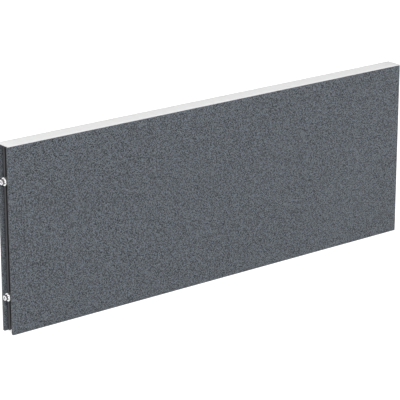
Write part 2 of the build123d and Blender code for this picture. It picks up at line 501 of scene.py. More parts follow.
@dataclass(frozen=True)
class ExtrudedAluminium(Finish):
    """Aluminium pressed through a die, which leaves fine lines along the bar.

    Mill finish is bright with clear lines. Anodised anthracite is dark and satin, with the lines
    only just there. The real lines are 0.1 to 0.3 mm apart and are drawn a little wider.
    """

    colour: str = "#C9CCCF"
    streak: str = "#B4B8BC"
    grain: Grain = Grain.ALONG_X
    line_gap: float = mm(0.5)
    line_run: float = mm(160)
    line_edges: tuple[float, float] = (0.3, 0.7)
    depth: float = mm(0.02)
    strength: float = 0.5
    metallic: float = 1.0
    roughness: float = 0.38
    smoother: float = 0.06
    rougher: float = 0.08

    def work(self, tree: bpy.types.NodeTree, shader: bpy.types.Node) -> None:
        """Draw the die's lines along the bar and feed them to the shader.

        Args:
            tree: The material's node tree.
            shader: Its Principled shader.
        """
        place = add_node(tree, "TexCoord").outputs["Object"]
        scale = tuple(1 / (self.line_run if along else self.line_gap) for along in self.grain.value)
        lines_place = add_node(tree, "Mapping", {"Vector": place, "Scale": scale})
        lines = add_node(
            tree, "TexNoise", {"Vector": lines_place.outputs[0], "Scale": 1.0, "Detail": 3.0}
        )
        least, most = self.line_edges
        share = add_node(
            tree, "MapRange", {"Value": lines.outputs[0], "From Min": least, "From Max": most}
        )
        low, high = self.roughness - self.smoother, self.roughness + self.rougher
        roughness = add_node(
            tree, "MapRange", {"Value": share.outputs[0], "To Min": low, "To Max": high}
        )
        colours = (self.colour, self.streak)
        relief = (lines.outputs[0], self.strength, self.depth)
        feeds = {"Metallic": self.metallic, "Roughness": roughness.outputs[0]}
        self.feed_pattern(tree, shader, share.outputs[0], colours, relief, feeds)


@dataclass(frozen=True)
class ZincPlate(Finish):
    """Steel with a barrel-plated zinc coat, passivated clear: bright grey with soft clouds.

    Tumbling leaves small marks, and the passivation tints it faintly blue in some places and faintly
    yellow in others.
    """

    cool: str = "#DADCE0"
    warm: str = "#E0DFDD"
    cloud: float = mm(5)
    cloud_edges: tuple[float, float] = (0.35, 0.65)
    mark: float = mm(0.6)
    depth: float = mm(0.015)
    strength: float = 0.4
    roughness: float = 0.24
    smoother: float = 0.08
    rougher: float = 0.1

    def work(self, tree: bpy.types.NodeTree, shader: bpy.types.Node) -> None:
        """Feed the clouds, the tints and the tumbling marks to the shader.

        Args:
            tree: The material's node tree.
            shader: Its Principled shader.
        """
        place = add_node(tree, "TexCoord").outputs["Object"]
        clouds, marks = (
            add_node(tree, "TexNoise", {"Vector": place, "Scale": 1 / size, "Detail": detail})
            for size, detail in ((self.cloud, 4.0), (self.mark, 2.0))
        )
        least, most = self.cloud_edges
        share = add_node(
            tree, "MapRange", {"Value": clouds.outputs[0], "From Min": least, "From Max": most}
        )
        low, high = self.roughness - self.smoother, self.roughness + self.rougher
        roughness = add_node(
            tree, "MapRange", {"Value": marks.outputs[0], "To Min": low, "To Max": high}
        )
        relief = (marks.outputs[0], self.strength, self.depth)
        feeds = {"Metallic": 1.0, "Roughness": roughness.outputs[0]}
        self.feed_pattern(tree, shader, share.outputs[0], (self.cool, self.warm), relief, feeds)


@dataclass(frozen=True)
class FibreMat(Finish):
    """Matted fibres: needled felt, or the pressed face of a fibreboard.

    Two layers of stretched noise cross as fibres do. Felt is pale and dull, with a deep soft relief;
    pressed board is brown, harder and almost flat.
    """

    ground: str = "#B4B6B9"
    fibre: str = "#CBCCCF"
    fibre_width: float = mm(0.5)
    fibre_length: float = mm(6)
    fibre_edges: tuple[float, float] = (0.4, 0.75)
    layer_turns: tuple[float, float] = (30, -50)
    depth: float = mm(0.4)
    strength: float = 0.6
    roughness: float = 0.95

    def work(self, tree: bpy.types.NodeTree, shader: bpy.types.Node) -> None:
        """Cross two layers of fibres and feed them to the shader.

        Args:
            tree: The material's node tree.
            shader: Its Principled shader.
        """
        place = add_node(tree, "TexCoord").outputs["Object"]
        bent = add_node(tree, "TexNoise", {"Vector": place, "Scale": 1 / self.fibre_length})
        wavy = add_node(
            tree,
            "VectorMath",
            {0: bent.outputs["Color"], 1: (self.fibre_length,) * 3, 2: place},
            operation="MULTIPLY_ADD",
        )
        first, second = (self._lay(tree, wavy.outputs[0], math.radians(turn)) for turn in self.layer_turns)
        mat = add_node(tree, "Math", {0: first, 1: second}, operation="MAXIMUM")
        least, most = self.fibre_edges
        share = add_node(
            tree, "MapRange", {"Value": mat.outputs[0], "From Min": least, "From Max": most}
        ).outputs[0]
        relief = (share, self.strength, self.depth)
        feeds = {"Roughness": self.roughness}
        self.feed_pattern(tree, shader, share, (self.ground, self.fibre), relief, feeds)

    def _lay(
        self, tree: bpy.types.NodeTree, place: bpy.types.NodeSocket, turn: float
    ) -> bpy.types.NodeSocket:
        """Lay one layer of fibres in the panel's plane.

        Args:
            tree: The material's node tree.
            place: The coordinates that the fibres lie in.
            turn: The fibres' angle from the panel's length, in radians.

        Returns:
            The output with the layer's value, from 0 to 1.
        """
        scale = (1 / self.fibre_length, 1 / self.fibre_width, 1 / self.fibre_width)
        turned = add_node(tree, "Mapping", {"Vector": place, "Rotation": (0, turn, 0)})
        stretched = add_node(tree, "Mapping", {"Vector": turned.outputs[0], "Scale": scale})
        return add_node(
            tree, "TexNoise", {"Vector": stretched.outputs[0], "Scale": 1.0, "Detail": 2.0}
        ).outputs[0]


@dataclass(frozen=True)
class ClosedCellFoam(Finish):
    """Closed-cell polyethylene foam, cut to a tape: off-white, with small burst cells on its edges."""

    wall: str = "#E2E1DC"
    # Painted shade: the darker colour that the sunken middle of each cell takes.
    hollow: str = "#C7C6C0"
    cell: float = mm(0.7)
    depth: float = mm(0.15)
    strength: float = 0.6
    roughness: float = 0.7

    def work(self, tree: bpy.types.NodeTree, shader: bpy.types.Node) -> None:
        """Feed the cells to the shader.

        Args:
            tree: The material's node tree.
            shader: Its Principled shader.
        """
        place = add_node(tree, "TexCoord").outputs["Object"]
        cells = add_node(tree, "TexVoronoi", {"Vector": place, "Scale": 1 / self.cell})
        share = cells.outputs["Distance"]
        # Painted shade: where the relief dips in the middle of each cell, the colour goes to the darker
        # hollow tone.
        relief = (share, self.strength, self.depth)
        feeds = {"Roughness": self.roughness}
        self.feed_pattern(tree, shader, share, (self.hollow, self.wall), relief, feeds)


@dataclass(frozen=True)
class LitAcrylic(Finish):
    """White acrylic table that is lit from below, so that it stays pale under the object.

    Its glow reaches the camera and mirror-like surfaces, but does not light the object from below.
    """

    colour: str = "#B4B4B4"
    glow: float = 0.75
    cloud: float = mm(400)
    roughness: float = 0.8
    unevenness: float = 0.1
    specular: float = 0.2

    def work(self, tree: bpy.types.NodeTree, shader: bpy.types.Node) -> None:
        """Feed a faint cloud to the roughness and let the sheet glow.

        Args:
            tree: The material's node tree.
            shader: Its Principled shader.
        """
        place = add_node(tree, "TexCoord").outputs["Object"]
        clouds = add_node(tree, "TexNoise", {"Vector": place, "Scale": 1 / self.cloud})
        low, high = self.roughness - self.unevenness, self.roughness + self.unevenness
        roughness = add_node(
            tree, "MapRange", {"Value": clouds.outputs[0], "To Min": low, "To Max": high}
        )
        path = add_node(tree, "LightPath").outputs
        seen = add_node(
            tree,
            "Math",
            {0: path["Is Camera Ray"], 1: path["Is Glossy Ray"]},
            operation="MAXIMUM",
        )
        glow = add_node(tree, "Math", {0: seen.outputs[0], 1: self.glow}, operation="MULTIPLY")
        feed_node(
            tree,
            shader,
            {
                "Base Color": linear(self.colour),
                "Roughness": roughness.outputs[0],
                "Specular IOR Level": self.specular,
                "Emission Color": linear("#FFFFFF"),
                "Emission Strength": glow.outputs[0],
            },
        )


CLOTH = MelangeCloth("woven_melange_polyester")
CAP_COAT = PowderCoat("white_grey_powder_coat")
MILL_RAIL = ExtrudedAluminium("mill_finish_aluminium_rail")
MILL_UPRIGHT = ExtrudedAluminium("mill_finish_aluminium_upright", grain=Grain.ALONG_Z)
ANTHRACITE = ExtrudedAluminium(
    "anthracite_anodised_aluminium",
    colour="#545457",
    streak="#4B4B4E",
    grain=Grain.ALONG_Z,
    metallic=0.35,
    roughness=0.42,
)
BRIGHT_ZINC = ZincPlate("clear_passivated_zinc_plate")
NUT_ZINC = ZincPlate("dull_zinc_plate", cool="#A9ABAA", warm="#B0ADA2", roughness=0.45)
FELT = FibreMat("needled_polyester_felt")
HARDBOARD = FibreMat(
    "pressed_wood_fibreboard",
    ground="#9A7650",
    fibre="#B08C64",
    fibre_width=mm(0.4),
    fibre_length=mm(4),
    depth=mm(0.05),
    roughness=0.75,
)
FOAM = ClosedCellFoam("polyethylene_foam_tape")
TABLE = LitAcrylic("lit_white_acrylic")


# ---- mesh tools ----

Radius = Callable[[float], float]


def points_of(geometry: Iterable[object]) -> list[bmesh.types.BMVert]:
    """Return the points among what an operator gave back."""
    return [item for item in geometry if isinstance(item, bmesh.types.BMVert)]


def cut_plane(
    bm: bmesh.types.BMesh,
    place: Sequence[float],
    normal: Sequence[float],
    faces: Iterable[bmesh.types.BMFace] | None = None,
    clear_outer: bool = False,
) -> list[bmesh.types.BMVert]:
    """Cut a mesh along a plane.

    Args:
        bm: The mesh.
        place: A point of the plane.
        normal: The plane's normal.
        faces: The faces to cut, or None for the whole mesh.
        clear_outer: Whether what lies on the normal's side goes.

    Returns:
        The points along the cut.
    """
    if faces is None:
        geometry = [*bm.verts, *bm.edges, *bm.faces]
    else:
        geometry = list(dict.fromkeys(item for face in faces for item in (face, *face.edges, *face.verts)))
    cut = bmesh.ops.bisect_plane(
        bm, geom=geometry, dist=CUT_DISTANCE, plane_co=place, plane_no=normal, clear_outer=clear_outer
    )
    return points_of(cut["geom_cut"])


def join_loop(bm: bmesh.types.BMesh, points: Iterable[Sequence[float]]) -> list[bmesh.types.BMEdge]:
    """Join points into a closed loop of edges.

    Args:
        bm: The mesh that gets the loop.
        points: The corners in order.

    Returns:
        The loop's edges.
    """
    corners = [bm.verts.new(point) for point in points]
    return [bm.edges.new(pair) for pair in zip(corners, corners[1:] + corners[:1])]


def ease_corners(bm: bmesh.types.BMesh, edges: Iterable[bmesh.types.BMEdge], radius: float) -> None:
    """Round every corner of an outline before it is filled.

    Args:
        bm: The mesh that holds the outline.
        edges: The outline's edges.
        radius: How far from the corner the round starts.
    """
    corners = list({corner for edge in edges for corner in edge.verts})
    bmesh.ops.bevel(
        bm,
        geom=corners,
        offset=radius,
        offset_type="OFFSET",
        segments=3,
        profile=0.5,
        affect="VERTICES",
        material=-1,
    )


def press(bm: bmesh.types.BMesh, travel: Vector) -> list[bmesh.types.BMFace]:
    """Fill the outlines of a mesh that holds nothing else yet, and pull the section into a bar.

    Args:
        bm: The mesh, with its outer and inner outlines in one plane.
        travel: The bar's length and direction.

    Returns:
        The faces of the section that was left where it was drawn.
    """
    bmesh.ops.triangle_fill(bm, edges=list(bm.edges), use_beauty=True, use_dissolve=False)
    section = list(bm.faces)
    pulled = bmesh.ops.extrude_face_region(bm, geom=section, use_keep_orig=True)
    bmesh.ops.translate(bm, verts=points_of(pulled["geom"]), vec=travel)
    return section


def bevel_edges(
    bm: bmesh.types.BMesh, edges: Iterable[bmesh.types.BMEdge], radius: float, segments: int = 3
) -> None:
    """Round edges of a solid.

    Args:
        bm: The mesh.
        edges: The edges to round.
        radius: The radius of the round on a square edge.
        segments: How many faces make the round.
    """
    bmesh.ops.bevel(
        bm,
        geom=list(edges),
        offset=radius,
        offset_type="OFFSET",
        segments=segments,
        profile=0.5,
        affect="EDGES",
        clamp_overlap=True,
        material=-1,
    )


def sharp_edges(bm: bmesh.types.BMesh, angle: float = 30.0) -> list[bmesh.types.BMEdge]:
    """Return the edges where two faces meet at more than an angle in degrees."""
    bm.normal_update()
    least = math.radians(angle)
    return [e for e in bm.edges if len(e.link_faces) == 2 and e.calc_face_angle() > least]


def next_ring(
    bm: bmesh.types.BMesh, ring: list[bmesh.types.BMEdge], height: float, radius: Radius
) -> list[bmesh.types.BMEdge]:
    """Grow a turned piece by one ring round the Z axis.

    Args:
        bm: The mesh.
        ring: The closed ring of edges that the mesh ends in so far.
        height: The new ring's Z.
        radius: The new ring's radius for a direction in radians.

    Returns:
        The new ring's edges.
    """
    grown = bmesh.ops.extrude_edge_only(bm, edges=ring)["geom"]
    for corner in points_of(grown):
        direction = math.atan2(corner.co.y, corner.co.x)
        reach = radius(direction)
        corner.co = Vector((reach * math.cos(direction), reach * math.sin(direction), height))
    return [item for item in grown if isinstance(item, bmesh.types.BMEdge)]


def add_copy(target: bmesh.types.BMesh, source: bmesh.types.BMesh, place: Matrix) -> None:
    """Add a copy of one mesh to another.

    Args:
        target: The mesh that grows.
        source: The mesh that is copied.
        place: Where the copy goes.
    """
    carrier = bpy.data.meshes.new("carrier")
    source.to_mesh(carrier)
    carrier.transform(place)
    target.from_mesh(carrier)
    bpy.data.meshes.remove(carrier)


def finish_piece(
    bm: bmesh.types.BMesh,
    name: str,
    finish: Finish,
    body: str,
    nodes: Sequence[str],
    crease: float = 35.0,
) -> bpy.types.Object:
    """Turn a mesh into a piece of the panel.

    Args:
        bm: The mesh, which is used up.
        name: The piece's name.
        finish: What it is made of.
        body: The body that it moves with.
        nodes: The CAD nodes that it stands for.
        crease: The angle in degrees from which an edge is shaded sharp.

    Returns:
        The new object.
    """
    bmesh.ops.remove_doubles(bm, verts=bm.verts, dist=WELD_DISTANCE)
    bmesh.ops.recalc_face_normals(bm, faces=bm.faces)
    mesh = bpy.data.meshes.new(name)
    bm.to_mesh(mesh)
    bm.free()
    mesh.shade_smooth()
    mesh.set_sharp_from_angle(angle=math.radians(crease))
    mesh.materials.append(finish.material())
    piece = bpy.data.objects.new(name, mesh)
    bpy.context.scene.collection.objects.link(piece)
    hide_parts(*nodes)
    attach(piece, body)
    log.info("built %s: %d faces for %s", name, len(mesh.polygons), ", ".join(nodes))
    return piece


def dress_node(name: str, finish: Finish) -> None:
    """Give a CAD node that stays as it is its material.

    Args:
        name: The node's name.
        finish: What it is made of.
    """
    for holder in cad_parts[name].material_slots:
        holder.material = finish.material()
    log.info("dressed %s as %s", name, finish.name)


# ---- sub-assemblies ----


@dataclass
class Skin:
    """A board with cloth stretched over it, and the tape that holds it to the core.

    The cloth is one sheet. It goes over the board's face and its four edges and is glued behind it
    as a hem. It is drawn along its middle and then gets its thickness.
    """

    face: Face
    cloth: float = mm(1)
    hem: float = mm(20)
    wrap_radius: float = mm(1.7)
    turn_radius: float = mm(0.6)
    cell: float = mm(16)
    tuck_width: float = mm(0.5)
    tuck_depth: float = mm(0.35)

    def __post_init__(self) -> None:
        """Read the cloth's box from the frame."""
        low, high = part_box(f"{self.face.label}_fabric")
        self.length = high.x - low.x
        self.height = high.z - low.z
        self.depth = high.y - low.y
        self.out = max(abs(low.y), abs(high.y))
        self.half_length = (self.length - self.cloth) / 2
        self.half_height = (self.height - self.cloth) / 2
        self.middle = (low.z + high.z) / 2
        self.lay_y = -self.out + self.cloth / 2
        self.return_depth = self.depth - self.cloth

    @property
    def flat_size(self) -> tuple[float, float]:
        """Return the length and width that the cloth is cut to."""
        extra = 2 * (self.depth + self.hem)
        return self.length + extra, self.height + extra

    @property
    def flat_area(self) -> float:
        """Return the cut's area, less the square at each corner that is cut away."""
        length, width = self.flat_size
        return length * width - 4 * (self.depth + self.hem) ** 2

    def build(self) -> None:
        bm = bmesh.new()
        self._lay_face(bm)
        self._turn_over_edges(bm)
        self._round_edges(bm)
        self._press_tucks(bm)
        self._lay_weave(bm)
        bmesh.ops.transform(bm, matrix=self.face.turn, verts=bm.verts)
        label = self.face.label
        cover = finish_piece(bm, f"{label}_cloth_cover", CLOTH, "root", [f"{label}_fabric"])
        thicken = cover.modifiers.new("cloth_thickness", "SOLIDIFY")
        thicken.thickness = self.cloth
        thicken.offset = 0.0
        thicken.use_even_offset = True
        dress_node(f"{label}_board", HARDBOARD)
        dress_node(f"{label}_tape", FOAM)

    def _lay_face(self, bm: bmesh.types.BMesh) -> None:
        """Lay the cloth flat over the board's face, looking out to the front."""
        upright = Matrix.Translation((0, self.lay_y, self.middle)) @ Matrix.Rotation(math.pi / 2, 4, "X")
        size = Matrix.Diagonal((2 * self.half_length, 2 * self.half_height, 1, 1))
        bmesh.ops.create_grid(
            bm,
            x_segments=round(self.length / self.cell),
            y_segments=round(self.height / self.cell),
            size=0.5,
            matrix=upright @ size,
        )

    def _turn_over_edges(self, bm: bmesh.types.BMesh) -> None:
        """Turn the cloth back over the board's edges, and then in behind it."""
        inner_length = self.half_length - self.hem + self.cloth / 2
        inner_height = self.half_height - self.hem + self.cloth / 2
        shrink = (inner_length / self.half_length, 1, inner_height / self.half_height)
        for travel, scale in (((0, self.return_depth, 0), (1, 1, 1)), ((0, 0, 0), shrink)):
            rim = [edge for edge in bm.edges if edge.is_boundary]
            grown = bmesh.ops.extrude_edge_only(bm, edges=rim)["geom"]
            corners = points_of(grown)
            bmesh.ops.translate(bm, verts=corners, vec=travel)
            centre = Matrix.Translation((0, 0, -self.middle))
            bmesh.ops.scale(bm, verts=corners, vec=scale, space=centre)

    def _round_edges(self, bm: bmesh.types.BMesh) -> None:
        """Let the cloth turn in a small radius where it goes over the board's edges and corners."""
        bmesh.ops.recalc_face_normals(bm, faces=bm.faces)
        folds = sharp_edges(bm, 60)
        back = self.lay_y + self.return_depth / 2
        wraps = [edge for edge in folds if min(corner.co.y for corner in edge.verts) < back]
        bevel_edges(bm, wraps, self.wrap_radius, 4)
        turns = [
            edge
            for edge in sharp_edges(bm, 60)
            if all(corner.co.y > back + self.return_depth / 4 for corner in edge.verts)
        ]
        bevel_edges(bm, turns, self.turn_radius, 2)

    def _press_tucks(self, bm: bmesh.types.BMesh) -> None:
        """Press the slanting tuck line into the cloth at each corner of both ends."""
        for side in (-1, 1):
            for up in (-1, 1):
                corner = Vector((side * self.half_length, self.lay_y, self.middle + up * self.half_height))
                across = Vector((0, 1, up)).normalized()
                self._press_tuck(bm, corner, across, side)

    def _press_tuck(self, bm: bmesh.types.BMesh, corner: Vector, across: Vector, side: int) -> None:
        """Press one tuck line, which runs slanting over the end from the face's corner to the hem.

        Args:
            bm: The cloth.
            corner: The corner of the face where the tuck starts.
            across: The direction across the tuck, in the end's plane.
            side: The side of the X axis that the end lies on.
        """
        near = 3 * self.return_depth
        for offset in (-self.tuck_width / 2, 0, self.tuck_width / 2):
            end_faces = [
                face
                for face in bm.faces
                if face.normal.x * side > FLUSH and (face.calc_center_median() - corner).length < near
            ]
            cut = cut_plane(bm, corner + across * offset, across, end_faces)
            if offset == 0:
                line = cut
        inside = [corner for corner in line if corner.is_valid and len(corner.link_edges) > 2]
        bmesh.ops.translate(bm, verts=inside, vec=(-side * self.tuck_depth, 0, 0))

    def _lay_weave(self, bm: bmesh.types.BMesh) -> None:
        """Give every point its place on the flat cloth, so that the weave goes round the edges."""
        bm.normal_update()
        lay = bm.loops.layers.uv.new(CLOTH_MAP)
        for face in bm.faces:
            for loop in face.loops:
                loop[lay].uv = self._flat_place(loop.vert.co, face.normal)

    def _flat_place(self, point: Vector, normal: Vector) -> tuple[float, float]:
        """Return where a point of the stretched cloth was on the flat cloth.

        Args:
            point: The point on the front skin.
            normal: The direction that the cloth faces there.

        Returns:
            The place along the panel and up it, in metres.
        """
        along, up = point.x, point.z - self.middle
        behind = point.y - self.lay_y
        over_end = self.half_length - abs(along) < self.half_height - abs(up)
        if normal.y > TURNED:
            turned_in = self.return_depth + 2 * (self.half_length - abs(along))
            turned_in_up = self.return_depth + 2 * (self.half_height - abs(up))
            if over_end:
                return math.copysign(abs(along) + turned_in, along), up
            return along, math.copysign(abs(up) + turned_in_up, up)
        if abs(normal.x) > abs(normal.z):
            return math.copysign(abs(along) + behind, along), up
        return along, math.copysign(abs(up) + behind, up)


@dataclass
class TopCap:
    """Flat cap over both skins and the core, with two barbed legs that snap into the top rail."""

    plate: float = mm(2)
    edge_radius: float = mm(0.7)
    leg_face: float = mm(11.2)
    leg_thickness: float = mm(1.5)
    leg_end: float = mm(35)
    barb_reach: float = mm(1.4)
    barb_height: float = mm(2.5)

    def build(self) -> None:
        """Build the cap as one piece and dress it."""
        low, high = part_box("top_cap")
        underside = high.z - self.plate
        leg_length = high.x - self.leg_end
        bm = bmesh.new()
        bmesh.ops.create_cube(bm, size=1.0)
        bmesh.ops.scale(bm, verts=bm.verts, vec=(high.x - low.x, high.y - low.y, self.plate))
        bmesh.ops.translate(bm, verts=bm.verts, vec=(0, 0, high.z - self.plate / 2))
        self._round_plate(bm, high.z)
        cuts = [(Vector((x, 0, 0)), Vector((1, 0, 0))) for x in (-leg_length, leg_length)]
        for y in (self.leg_face, self.leg_face - self.leg_thickness):
            cuts += [(Vector((0, side * y, 0)), Vector((0, 1, 0))) for side in (-1, 1)]
        for place, normal in cuts:
            cut_plane(bm, place, normal)
        self._pull_legs(bm, underside, low.z, leg_length)
        finish_piece(bm, "clipped_top_cap", CAP_COAT, "root", ["top_cap"])

    def _round_plate(self, bm: bmesh.types.BMesh, top: float) -> None:
        """Round the plate's top edges and its four corners.

        Args:
            bm: The plate.
            top: The Z of its top face.
        """
        ends = [e for e in bm.edges if abs(e.verts[0].co.z - e.verts[1].co.z) > self.plate / 2]
        bevel_edges(bm, ends, self.edge_radius)
        rim = [e for e in sharp_edges(bm) if all(abs(v.co.z - top) < WELD_DISTANCE for v in e.verts)]
        bevel_edges(bm, rim, self.edge_radius)

    def _pull_legs(self, bm: bmesh.types.BMesh, underside: float, bottom: float, reach: float) -> None:
        """Pull the two legs down out of the plate's underside and form their barbs.

        Args:
            bm: The plate, cut along the legs' outlines.
            underside: The Z of the plate's underside.
            bottom: The Z of the legs' lower edge.
            reach: How far the legs go from the middle along the panel.
        """
        bm.normal_update()
        leg_middle = self.leg_face - self.leg_thickness / 2
        roots = [
            face
            for face in bm.faces
            if face.normal.z < -FACING
            and abs(abs(face.calc_center_median().y) - leg_middle) < self.leg_thickness / 2
            and abs(face.calc_center_median().x) < reach
        ]
        for level in (bottom + self.barb_height, bottom):
            pulled = bmesh.ops.extrude_face_region(bm, geom=roots)["geom"]
            bmesh.ops.delete(bm, geom=roots, context="FACES_ONLY")
            roots = [item for item in pulled if isinstance(item, bmesh.types.BMFace)]
            corners = points_of(pulled)
            drop = level - corners[0].co.z
            bmesh.ops.translate(bm, verts=corners, vec=(0, 0, drop))
        bm.normal_update()
        flanks = [
            face
            for face in bm.faces
            if face.normal.y * face.calc_center_median().y > FACING * abs(face.calc_center_median().y)
            and bottom < face.calc_center_median().z < bottom + self.barb_height
            and abs(abs(face.calc_center_median().y) - self.leg_face) < WELD_DISTANCE
        ]
        for flank in flanks:
            side = math.copysign(1, flank.calc_center_median().y)
            barb = bmesh.ops.extrude_discrete_faces(bm, faces=[flank])["faces"][0]
            upper = [corner for corner in barb.verts if corner.co.z > bottom + self.barb_height / 2]
            bmesh.ops.translate(bm, verts=upper, vec=(0, side * self.barb_reach, 0))
        bmesh.ops.remove_doubles(bm, verts=bm.verts, dist=WELD_DISTANCE)
        bmesh.ops.dissolve_degenerate(bm, dist=WELD_DISTANCE, edges=bm.edges)


@dataclass
class SlottedUpright:
    """Anodised extrusion that closes an end of the core, with a T-slot for the hook bolts."""

    end: End
    depth: float = mm(26)
    rebate: float = mm(4)
    lip: float = mm(2.5)
    slot: float = mm(8.4)
    cavity: tuple[float, float] = (mm(7), mm(14.4))
    chamber: tuple[float, float] = (mm(14), mm(10))
    side_chamber: tuple[float, float] = (mm(18), mm(3.8))
    side_wall: float = mm(2)
    edge_radius: float = mm(0.4)
    screw_hole: float = mm(2.6)
    screw_head: float = mm(3.9)
    patch: float = mm(4.2)

    def build(self) -> None:
        """Draw the section, press the bar, and drill it for the corner screws."""
        low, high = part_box(f"{self.end.label}_end_profile")
        self.half_width = high.y
        self.face_x = self.end.value * max(abs(low.x), abs(high.x))
        bm = bmesh.new()
        self._draw_outline(bm)
        self._draw_chambers(bm)
        bmesh.ops.translate(bm, verts=bm.verts, vec=(0, 0, low.z))
        press(bm, Vector((0, 0, high.z - low.z)))
        low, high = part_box("corner_screws")
        for level in (low.z + self.screw_head, high.z - self.screw_head):
            self._drill(bm, level)
        name = f"{self.end.label}_slotted_upright"
        finish_piece(bm, name, ANTHRACITE, "root", [f"{self.end.label}_end_profile"])

    @property
    def cavity_back(self) -> float:
        """Return how far the cavity's back lies behind the slotted face."""
        return self.lip + self.cavity[0]

    @property
    def chamber_back(self) -> float:
        """Return how far the chamber's back lies behind the slotted face."""
        return self.cavity_back + self.chamber[0]

    def _at(self, inward: float, across: float) -> tuple[float, float, float]:
        """Return a point of the section from its distance behind the slotted face and across it."""
        return self.face_x - self.end.value * inward, across, 0.0

    def _draw_outline(self, bm: bmesh.types.BMesh) -> None:
        """Draw the outline: the rebated corners, the slot, its cavity and the chamber behind that."""
        slot, cavity, chamber = self.slot / 2, self.cavity[1] / 2, self.chamber[1] / 2
        land = self.half_width - self.rebate
        half = [
            (self.chamber_back, chamber),
            (self.cavity_back, chamber),
            (self.cavity_back, cavity),
            (self.lip, cavity),
            (self.lip, slot),
            (0, slot),
            (0, land),
            (self.rebate, land),
            (self.rebate, self.half_width),
            (self.depth, self.half_width),
        ]
        outline = half + [(inward, -across) for inward, across in reversed(half)]
        edges = join_loop(bm, [self._at(*point) for point in outline])
        ease_corners(bm, edges, self.edge_radius)

    def _draw_chambers(self, bm: bmesh.types.BMesh) -> None:
        """Draw the closed chamber on each side of the slot."""
        start = self.rebate + self.side_wall
        deep, wide = self.side_chamber
        middle = self.half_width - self.side_wall - wide / 2
        for side in (-1, 1):
            near, far = side * middle - wide / 2, side * middle + wide / 2
            corners = [(start, near), (start + deep, near), (start + deep, far), (start, far)]
            edges = join_loop(bm, [self._at(*corner) for corner in corners])
            ease_corners(bm, edges, self.edge_radius)

    def _drill(self, bm: bmesh.types.BMesh, level: float) -> None:
        """Drill a corner screw's hole through the web behind the chamber.

        Args:
            bm: The pressed bar.
            level: The Z of the hole's axis.
        """
        rings = []
        for inward in (self.chamber_back, self.depth):
            place = Vector((self._at(inward, 0)[0], 0, level))
            self._cut_patch(bm, place)
            patch = min(self._wall(bm, place), key=lambda face: (face.calc_center_median() - place).length)
            rim = list(patch.edges)
            bmesh.ops.delete(bm, geom=[patch], context="FACES_ONLY")
            across = Matrix.Translation(place) @ Matrix.Rotation(math.pi / 2, 4, "Y")
            made = bmesh.ops.create_circle(bm, segments=32, radius=self.screw_hole, matrix=across)
            ring = list({edge for corner in made["verts"] for edge in corner.link_edges})
            bmesh.ops.triangle_fill(bm, edges=rim + ring, use_beauty=True)
            rings += ring
        bmesh.ops.bridge_loops(bm, edges=rings)

    @staticmethod
    def _wall(bm: bmesh.types.BMesh, place: Vector) -> list[bmesh.types.BMFace]:
        """Return the faces that lie flat in the plane across the panel's length at a place."""
        return [
            face
            for face in bm.faces
            if all(abs(corner.co.x - place.x) < WELD_DISTANCE for corner in face.verts)
        ]

    def _cut_patch(self, bm: bmesh.types.BMesh, place: Vector) -> None:
        """Cut a square patch round a hole's place out of the wall that it is in."""
        for direction in (Vector((0, 1, 0)), Vector((0, 0, 1))):
            for side in (-1, 1):
                cut_plane(bm, place + direction * side * self.patch, direction, self._wall(bm, place))


